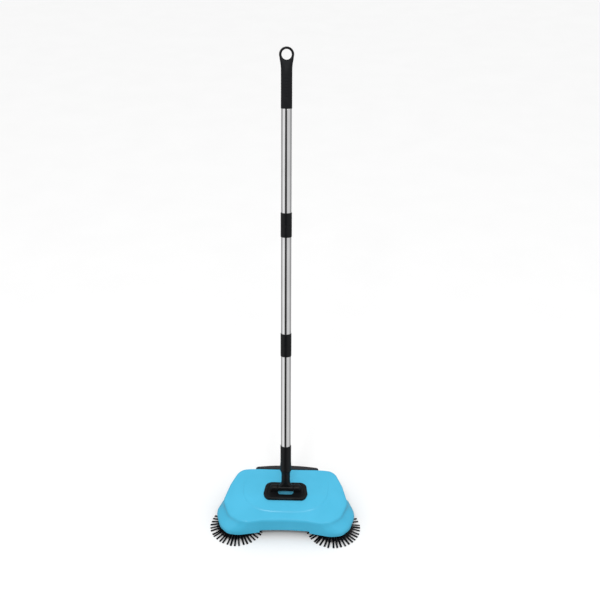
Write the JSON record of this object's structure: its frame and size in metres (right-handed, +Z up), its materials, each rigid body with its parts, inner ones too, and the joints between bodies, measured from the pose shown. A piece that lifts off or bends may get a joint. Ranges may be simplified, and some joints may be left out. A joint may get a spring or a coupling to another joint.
{
  "type": "carpet sweeper",
  "caption": "Hand-pushed carpet sweeper with side brushes, a main roller, a slide-out dust box and a tilting screw-together handle.",
  "frame": {"origin": "floor under the middle of the object's footprint, taken over the head and the leaning handle", "axes": "+Z up, -Y the front with the side brushes, +X to the right seen from the front"},
  "size_m": [0.3484, 0.388, 1.0242],
  "materials": {
    "cover": "smooth satin moulded ABS",
    "black_plastic": "fine-textured moulded plastic",
    "grip": "soft satin",
    "dust_box": "satin moulded plastic",
    "tube": "polished stainless steel",
    "steel": "turned steel",
    "gear": "natural acetal",
    "bush": "sintered bronze",
    "wheel": "moulded plastic",
    "tyre": "soft rubber",
    "bristle": "nylon bristle",
    "seal": "soft rubber lip"
  },
  "bodies": {
    "head": {"top_cover": "cover", "base_plate": "black_plastic", "base_screws": "steel", "hinge_bezel": "black_plastic", "bezel_screws": "steel", "hinge_pin": "steel", "left_wheel_axle": "steel", "right_wheel_axle": "steel", "shaft_bushes": "bush", "spindle_bushes": "bush", "roller_bushes": "bush", "rear_roller_pins": "steel"},
    "handle": {"handle_neck": "black_plastic", "neck_screw": "steel", "socket": "black_plastic", "tube_lower": "tube", "coupling_lower_nut": "black_plastic", "coupling_lower_stud": "black_plastic", "tube_middle": "tube", "coupling_upper_nut": "black_plastic", "coupling_upper_stud": "black_plastic", "tube_upper": "tube", "grip": "grip"},
    "dust_tray": {"dust_box": "dust_box", "dust_box_back": "dust_box", "dust_box_seal": "seal"},
    "roller": {"roller_core": "wheel", "roller_bristles": "bristle", "roller_pinion": "gear"},
    "left_drive_wheel": {"left_wheel": "wheel", "left_tyre": "tyre"},
    "left_shaft": {"left_side_shaft": "steel", "left_wheel_pinion": "gear", "left_brush_pinion": "gear"},
    "left_brush": {"left_brush_gear": "gear", "left_brush_hub": "black_plastic", "left_brush_bristles": "bristle", "left_brush_screw": "steel"},
    "left_rear_wheel": {"left_rear_roller": "wheel"},
    "right_drive_wheel": {"right_wheel": "wheel", "right_tyre": "tyre"},
    "right_shaft": {"right_side_shaft": "steel", "right_wheel_pinion": "gear", "right_brush_pinion": "gear"},
    "right_brush": {"right_brush_gear": "gear", "right_brush_hub": "black_plastic", "right_brush_bristles": "bristle", "right_brush_screw": "steel"},
    "right_rear_wheel": {"right_rear_roller": "wheel"}
  },
  "joints": [
    {"name": "handle_tilt", "type": "hinge", "parent": "head", "child": "handle", "pos_m": [0, -0.0865, 0.081], "axis": [-1, 0, 0], "range_deg": [-16.4, 54]},
    {"name": "dust_box_slide", "type": "slide", "parent": "head", "child": "dust_tray", "axis": [0, 1, 0], "range_m": [0, 0.04]},
    {"name": "left_wheel_spin", "type": "hinge", "parent": "head", "child": "left_drive_wheel", "pos_m": [-0.09, -0.054, 0.029], "axis": [1, 0, 0], "continuous": true},
    {"name": "left_shaft_spin", "type": "hinge", "parent": "head", "child": "left_shaft", "pos_m": [-0.1108, -0.088, 0.029], "axis": [0, 1, 0], "continuous": true},
    {"name": "left_brush_spin", "type": "hinge", "parent": "head", "child": "left_brush", "pos_m": [-0.1108, -0.13, 0.015], "axis": [0, 0, 1], "continuous": true},
    {"name": "left_rear_roller_spin", "type": "hinge", "parent": "head", "child": "left_rear_wheel", "pos_m": [-0.062, -0.025, 0.0075], "axis": [1, 0, 0], "continuous": true},
    {"name": "right_wheel_spin", "type": "hinge", "parent": "head", "child": "right_drive_wheel", "pos_m": [0.09, -0.054, 0.029], "axis": [1, 0, 0], "continuous": true},
    {"name": "right_shaft_spin", "type": "hinge", "parent": "head", "child": "right_shaft", "pos_m": [0.1108, -0.088, 0.029], "axis": [0, 1, 0], "continuous": true},
    {"name": "right_brush_spin", "type": "hinge", "parent": "head", "child": "right_brush", "pos_m": [0.1108, -0.13, 0.015], "axis": [0, 0, 1], "continuous": true},
    {"name": "right_rear_roller_spin", "type": "hinge", "parent": "head", "child": "right_rear_wheel", "pos_m": [0.062, -0.025, 0.0075], "axis": [1, 0, 0], "continuous": true},
    {"name": "roller_spin", "type": "hinge", "parent": "head", "child": "roller", "pos_m": [0, -0.07472, 0.022], "axis": [1, 0, 0], "continuous": true}
  ],
  "couplings": [
    {"joint": "left_shaft_spin", "follows": "left_wheel_spin", "ratio": 3.2},
    {"joint": "left_brush_spin", "follows": "left_wheel_spin", "ratio": 1.1429},
    {"joint": "right_shaft_spin", "follows": "right_wheel_spin", "ratio": -3.2},
    {"joint": "right_brush_spin", "follows": "right_wheel_spin", "ratio": -1.1429},
    {"joint": "roller_spin", "follows": "left_wheel_spin", "ratio": -2.1818}
  ]
}
